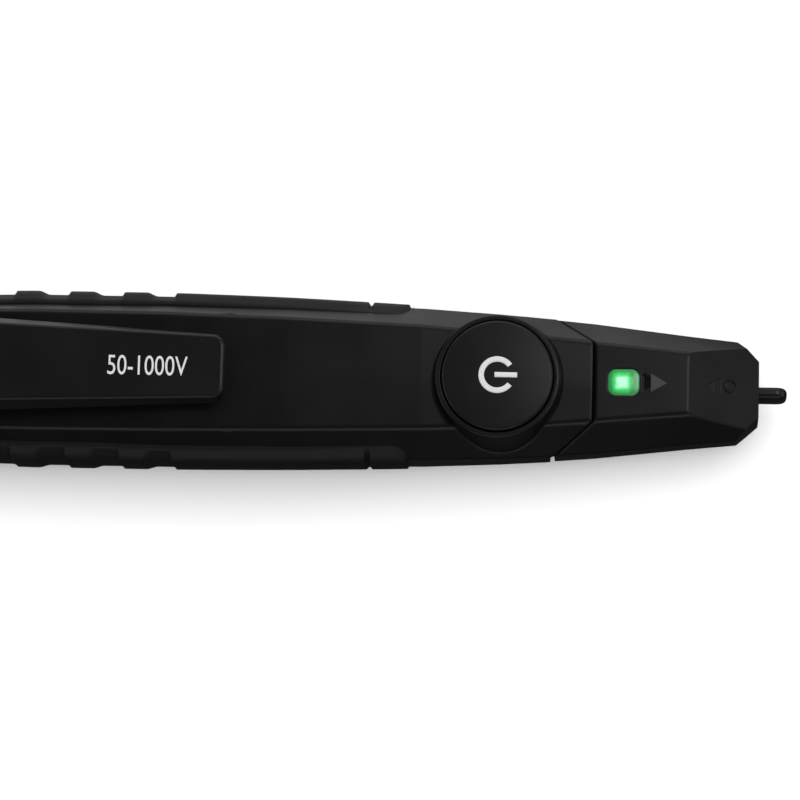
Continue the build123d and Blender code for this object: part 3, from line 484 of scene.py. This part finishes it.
def grip(name, side, replaced):
    """A grip on the +Y or -Y side. Each ring goes down its outside and back up against the shell.

    The thickness is how proud the strip stands at x, less the ribs' height in the valleys, less a
    share on the lower bevel, all times a quarter-round at the sides and ends."""
    fine = np.arange(grip_rear + clearance, grip_front - clearance, ring_step)
    ends = end_steps_reach * (1 - np.cos(np.linspace(0, np.pi / 2, 9)[1:-1]))
    x = np.unique(np.concatenate([[grip_rear], grip_rear + ends, fine, grip_front - ends, [grip_front]]))
    to_end = np.minimum(x - grip_rear, grip_front - x)
    pulled_in = plan_corner * (1 - round_edge(to_end, plan_corner))
    top = np.interp(x, [top_from_x, grip_front], [top_rear, top_front]) - pulled_in
    low = grip_foot + clearance + 0.6 * pulled_in
    y, z = outline_path(x, top, low, path_steps)
    step_y, step_z = np.gradient(y, axis=1), np.gradient(z, axis=1)
    length = np.hypot(step_y, step_z)
    out_y, out_z = -step_z / length, step_y / length
    across = np.cumsum(length, axis=1) - length[:, :1]
    to_side = np.minimum(across, across[:, -1:] - across)
    fade = np.clip((x - (grip_front - proud_fade)) / proud_fade, 0, 1) ** 1.5
    proud = proud_rear + (proud_front - proud_rear) * fade
    rib_share = raised(x)[:, None] * smooth_step(to_side / rib_run_out)
    thickness = (proud - rib_height)[:, None] + rib_height * rib_share
    thickness = thickness * (1 - thinner_below * smooth_step((across / across[:, -1:] - 0.3) / 0.4))
    thickness = thickness * round_edge(to_side, side_round) * round_edge(to_end, end_round)[:, None]
    thickness = np.maximum(thickness, clearance / 2) - clearance
    along = np.broadcast_to(x[:, None], y.shape)
    outer, inner = (np.stack([along, side * (y + out_y * out), z + out_z * out], -1)
                    for out in (thickness, under))
    rings = np.concatenate([outer, inner[:, ::-1]], axis=1)
    made = closed_tube(name, rings, grip_rubber, "housing")
    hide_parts(replaced)


grip("grip_left_rubber", 1, "grip_left")
grip("grip_right_rubber", -1, "grip_right")

# %% [markdown]
# ## The power mark
# The mark on the button is the usual broken ring with a bar, turned so that its gap and its bar
# point to the tip. It is ink, so it follows the button's shallow dome at a constant 0.03 mm. An
# image would blur when the camera comes close, so it is made of two thin solids: a section carried
# round an arc, and another carried along a line.

# %% The mark on the dome
button_low, button_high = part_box("power_button")
button_middle = (button_low + button_high) / 2 / mm
dome_top = button_high.z / mm
rim_radius, dome_height = 8.25, 0.45         # the dome's edge, and how high it rises from there
dome_radius = (rim_radius ** 2 + dome_height ** 2) / (2 * dome_height)
ink = 0.03                                   # how thick a film of ink is


def on_dome(x, y, lift):
    """Points above the button's dome: a ball's height at x and y from the button's middle."""
    x, y = np.broadcast_arrays(x, y)
    z = dome_top - dome_radius + np.sqrt(dome_radius ** 2 - x ** 2 - y ** 2)
    return np.stack([x + button_middle.x, y + button_middle.y, z + lift], -1)


def flat_strip(a, b, steps=4):
    """A section of a strip of ink from a to b across: over the top and back underneath."""
    there = np.linspace(a, b, steps)
    return np.concatenate([there, there[::-1]]), np.repeat([ink, -ink], steps)


ring_inner, ring_outer, ring_gap = 2.05, 2.92, 37.0      # the gap is half an angle, in degrees
bar_half, bar_rear, bar_front = 0.4, -0.4, 3.15
angle = np.radians(np.linspace(ring_gap, 360 - ring_gap, 97))[:, None]
radius, lift = flat_strip(ring_inner, ring_outer)
arc = on_dome(radius * np.cos(angle), radius * np.sin(angle), lift)
closed_tube("power_mark_ring", arc, white_ink, "button")
across, lift = flat_strip(-bar_half, bar_half)
bar = on_dome(np.linspace(bar_rear, bar_front, 24)[:, None], across, lift)
closed_tube("power_mark_bar", bar, white_ink, "button")

# %% [markdown]
# ## The clip's legend
# The clip carries one line of printed figures. They are a plain measuring range, which any tester
# of this kind has. Text in Blender is a curve, so it is turned into a mesh first, and only then are
# its points scaled to the printed height and laid on the clip's sloping top.

# %% Figures on the clip
clip_mesh = nodes["pocket_clip"].data
clip_points = np.zeros(len(clip_mesh.vertices) * 3)
clip_mesh.vertices.foreach_get("co", clip_points)
clip_points = clip_points.reshape(-1, 3) / mm
clip_rear, clip_front = clip_points[:, 0].min(), clip_points[:, 0].max()


def clip_top(x):
    """The height of the clip's flat top at x, in a straight line between its two ends."""
    ends = []
    for low, high in ((clip_rear, clip_rear + 3), (clip_front - 3, clip_front - 0.7)):
        near = clip_points[(clip_points[:, 0] >= low) & (clip_points[:, 0] <= high)]
        best = near[near[:, 2].argmax()]
        ends.append((best[0], best[2]))
    return np.interp(x, *zip(*ends))


def printed_figures(name, text, rear, front, height, middle_y):
    """Figures as a thin solid of ink, fitted between rear and front, that high, on the clip."""
    curve = bpy.data.curves.new(name, "FONT")
    curve.body = text
    curve.extrude = 0.01
    curve.resolution_u = 6
    source = bpy.data.objects.new(name + "_curve", curve)
    bpy.context.scene.collection.objects.link(source)
    mesh = bpy.data.meshes.new_from_object(source)
    bpy.data.objects.remove(source)
    places = np.zeros(len(mesh.vertices) * 3)
    mesh.vertices.foreach_get("co", places)
    places = places.reshape(-1, 3)
    low, high = places.min(0), places.max(0)
    share = (places - low) / (high - low)
    x = rear + share[:, 0] * (front - rear)
    y = middle_y + (share[:, 1] - 0.5) * height
    z = clip_top(x) + np.where(share[:, 2] > 0.5, ink, -ink)
    mesh.vertices.foreach_set("co", (np.stack([x, y, z], -1) * mm).ravel())
    mesh.materials.clear()
    mesh.materials.append(white_ink)
    mesh.update()
    made = bpy.data.objects.new(name, mesh)
    bpy.context.scene.collection.objects.link(made)
    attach(made, "clip")
    print(name, len(mesh.polygons), "faces")


printed_figures("clip_range_figures", "50-1000V", -26.4, -13.9, 3.1, -0.15)

# %% [markdown]
# ## The window over the light
# The window is a square of green plastic with round corners. It stands a quarter of a millimetre
# above the head and has a softly rounded edge and a slight crown. Its rings are the same rounded
# rectangle, drawn smaller and higher as they come over the edge, and then shrunk to the middle.

# %% The window
def rounded_rectangle(half_x, half_y, radius, steps=10):
    """A rounded rectangle: four quarter circles about the corners' centres, in order."""
    turn = np.linspace(0, np.pi / 2, steps)
    quarter = (turn[None] + np.pi / 2 * np.arange(4)[:, None]).ravel()
    sign_x = np.repeat([1, -1, -1, 1], steps)
    sign_y = np.repeat([1, 1, -1, -1], steps)
    return np.stack([sign_x * (half_x - radius) + radius * np.cos(quarter),
                     sign_y * (half_y - radius) + radius * np.sin(quarter)], -1)


half_length, half_width, window_corner = 2.5, 2.125, 1.3
middle = window_centre / mm
window_top = window_high.z / mm - 0.03
edge, crown, crown_width = 0.35, 0.12, 1.8
turns = np.linspace(0, np.pi / 2, 8)
to_middle = np.array([0.35, 0.8, 1.3, 1.7, 2.0])
insets = np.concatenate([[0.0], edge * (1 - np.cos(turns)), edge + to_middle])
heights = np.concatenate([
    [window_low.z / mm],
    window_top - crown - edge * (1 - np.sin(turns)),
    window_top - crown * (1 - np.clip(to_middle / crown_width, 0, 1)) ** 2,
])


def window_ring(inset, height):
    """The window's outline, drawn in by inset at that height."""
    flat = rounded_rectangle(half_length - inset, half_width - inset, max(window_corner - inset, 0.1))
    return np.column_stack([flat + [middle.x, middle.y], np.full(len(flat), height)])


rings = np.stack([window_ring(inset, height) for inset, height in zip(insets, heights)])
lens = closed_tube("status_window_lens", rings, green_window, "housing")
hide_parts("status_window")

# %% [markdown]
# ## The arrow
# Beside the window stands a small arrow that points to the tip. It is a sheet in a lighter grey
# that fills the front of a recess, and its lighter grey is a painted highlight: it stands for the
# light on a sloping facet in the recess. Its corners are dropped onto the head with a ray from
# above, so that it lies on the face whatever the face's slope is.

# %% The arrow on the head
def drop_on(node, x, y):
    """The height in mm at which a ray from above meets a CAD part at x and y."""
    part = nodes[node]
    start = part.matrix_world.inverted() @ Vector((x * mm, y * mm, 0.05))
    hit, where, _, _ = part.ray_cast(start, Vector((0, 0, -1)))
    return (part.matrix_world @ where).z / mm if hit else np.nan


arrow_corners = np.array([[58.45, -1.5], [61.0, 0.0], [58.45, 1.5]])
rear_x, front_x, beside = 57.0, 62.0, 3.2                # places beside the recess, where the face is whole
rear_z, front_z = (drop_on("head_cap", x, beside) for x in (rear_x, front_x))
arrow_z = rear_z + (front_z - rear_z) / (front_x - rear_x) * (arrow_corners[:, 0] - rear_x)
arrow_rings = np.stack([np.column_stack([arrow_corners, arrow_z + lift]) for lift in (-0.15, 0.02)])
# A sheet lighter than the head: its grey is a painted highlight on the arrow.
arrow_painted_highlight = moulded("arrow_painted_highlight_grey", "2a2a2b", "3a3a3b", 0.5, 0.25, 0.003, 0.1,
                     {"Specular IOR Level": 0.25})
closed_tube("arrow_painted_highlight_sheet", arrow_rings, arrow_painted_highlight, "housing", smooth=False)

# %% [markdown]
# ## The stage
# The tester lies on a matt white table and is seen from almost straight above. The table is a
# twentieth of a millimetre below the tester, so that their faces don't fight for the same place. It
# is left out of reflections, which keeps the tester's lower sides dark.

# %% Table
reach, table_z = 3.0, -0.05 * mm
table_corners = [(x * reach, y * reach, table_z) for x, y in ((-1, -1), (1, -1), (1, 1), (-1, 1))]
table_mesh = bpy.data.meshes.new("table")
table_mesh.from_pydata(table_corners, [], [(0, 1, 2, 3)])
table = bpy.data.objects.new("table", table_mesh)
bpy.context.scene.collection.objects.link(table)
table.visible_glossy = False
table_white, _, _ = start_material("matt_white_table", {
    "Base Color": linear("fafafa"), "Roughness": 0.9, "Specular IOR Level": 0.1,
})
table_mesh.materials.append(table_white)

# %% [markdown]
# ## The light
# Black plastic shows what it reflects rather than its own colour, so the light that whitens the
# table and the light that draws the shape are kept apart. A soft ceiling and a pale room whiten the
# table and don't show in the plastic, and a low light from behind shows in both. A card that lies
# behind the tester shows in the upper bevels, and is what draws the line along the shell. It is a
# millimetre under the table, which reflected rays pass through. A small soft box over the tip
# brightens the head and the button a little more than the handle. Four dim bands, which stand
# between 0.1 and 0.9 m above the table on its four sides, draw the tester's sides.

# %% Lights
def soft_light(name, place, aim, size, power, in_plastic, on_table):
    """A rectangular light at a place that faces a point, in metres, seen in plastic or on the table."""
    data = bpy.data.lights.new(name, "AREA")
    data.shape = "RECTANGLE"
    data.size, data.size_y = size
    data.energy = power
    made = bpy.data.objects.new(name, data)
    bpy.context.scene.collection.objects.link(made)
    made.location = place
    made.rotation_mode = "QUATERNION"
    made.rotation_quaternion = (Vector(place) - Vector(aim)).to_track_quat("Z", "Y")
    made.visible_glossy, made.visible_diffuse, made.visible_camera = in_plastic, on_table, False


body_x = 0.02
soft_light("ceiling", (body_x, 0.45, 1.3), (body_x, 0, 0), (2.8, 2.2), 19, False, True)
soft_light("behind", (body_x, 0.95, 0.55), (body_x, 0, 0), (1.4, 0.3), 2, True, True)
soft_light("over_tip", (0.185, 0.09, 0.34), (0.06, 0, 0.02), (0.1, 0.1), 0.5, True, False)
soft_light("card_behind", (body_x, 0.3, -0.001), (body_x, 0.3, 1), (0.6, 0.55), 0.85, True, False)
band_away, band_height = 1.4, 0.5
for name, x, y in (("front", body_x, -band_away), ("tip_side", band_away, 0),
                   ("rear", body_x, band_away), ("tail_side", -band_away, 0)):
    soft_light(name + "_band", (x, y, band_height), (x * 0.1, 0, 0.45), (1.6, 0.8), 7.5, True, False)

# The room is pale to the eye and to the table, and dark in the plastic.
world = bpy.data.worlds.new("studio")
bpy.context.scene.world = world
world.use_nodes = True
room = world.node_tree
ray = add_node(room, "LightPath")
strength = add_node(room, "MapRange", {"Value": ray.outputs["Is Glossy Ray"], "To Min": 1.0, "To Max": 0.04})
room.nodes["Background"].inputs["Color"].default_value = linear("ffffff")
room.links.new(strength.outputs[0], room.nodes["Background"].inputs["Strength"])

# %% [markdown]
# ## The camera
# A long lens from 0.8 m keeps the tester's sides nearly parallel. The camera looks down from 10
# degrees off the vertical, on the -Y side, stands 3 degrees towards the tip and is turned by almost
# 1 degree, so that the tester runs a little downhill. The tail stays out of the frame.

# %% Camera
view_centre = np.array([19.3, -4.3, 23.0]) * mm
distance = 0.8
lean_back, lean_right, roll = np.radians([10.0, 3.0, 0.95])
toward_camera = np.array([np.sin(lean_right), -np.sin(lean_back) * np.cos(lean_right),
                          np.cos(lean_back) * np.cos(lean_right)])
camera_data = bpy.data.cameras.new("camera")
camera_data.lens = 230
camera_data.sensor_width = 36
camera_data.clip_end = 10
camera = bpy.data.objects.new("camera", camera_data)
bpy.context.scene.collection.objects.link(camera)
bpy.context.scene.camera = camera
camera.location = Vector(view_centre + toward_camera * distance)
camera.rotation_mode = "QUATERNION"
look = Vector(toward_camera)
up = look.cross(Vector((1, 0, 0))).normalized()
turned = Matrix((up.cross(look), up, look)).transposed().to_quaternion()
camera.rotation_quaternion = Quaternion(look, roll) @ turned
bpy.context.scene.view_settings.view_transform = "Standard"
print("the camera stands at", [round(v, 3) for v in camera.location])
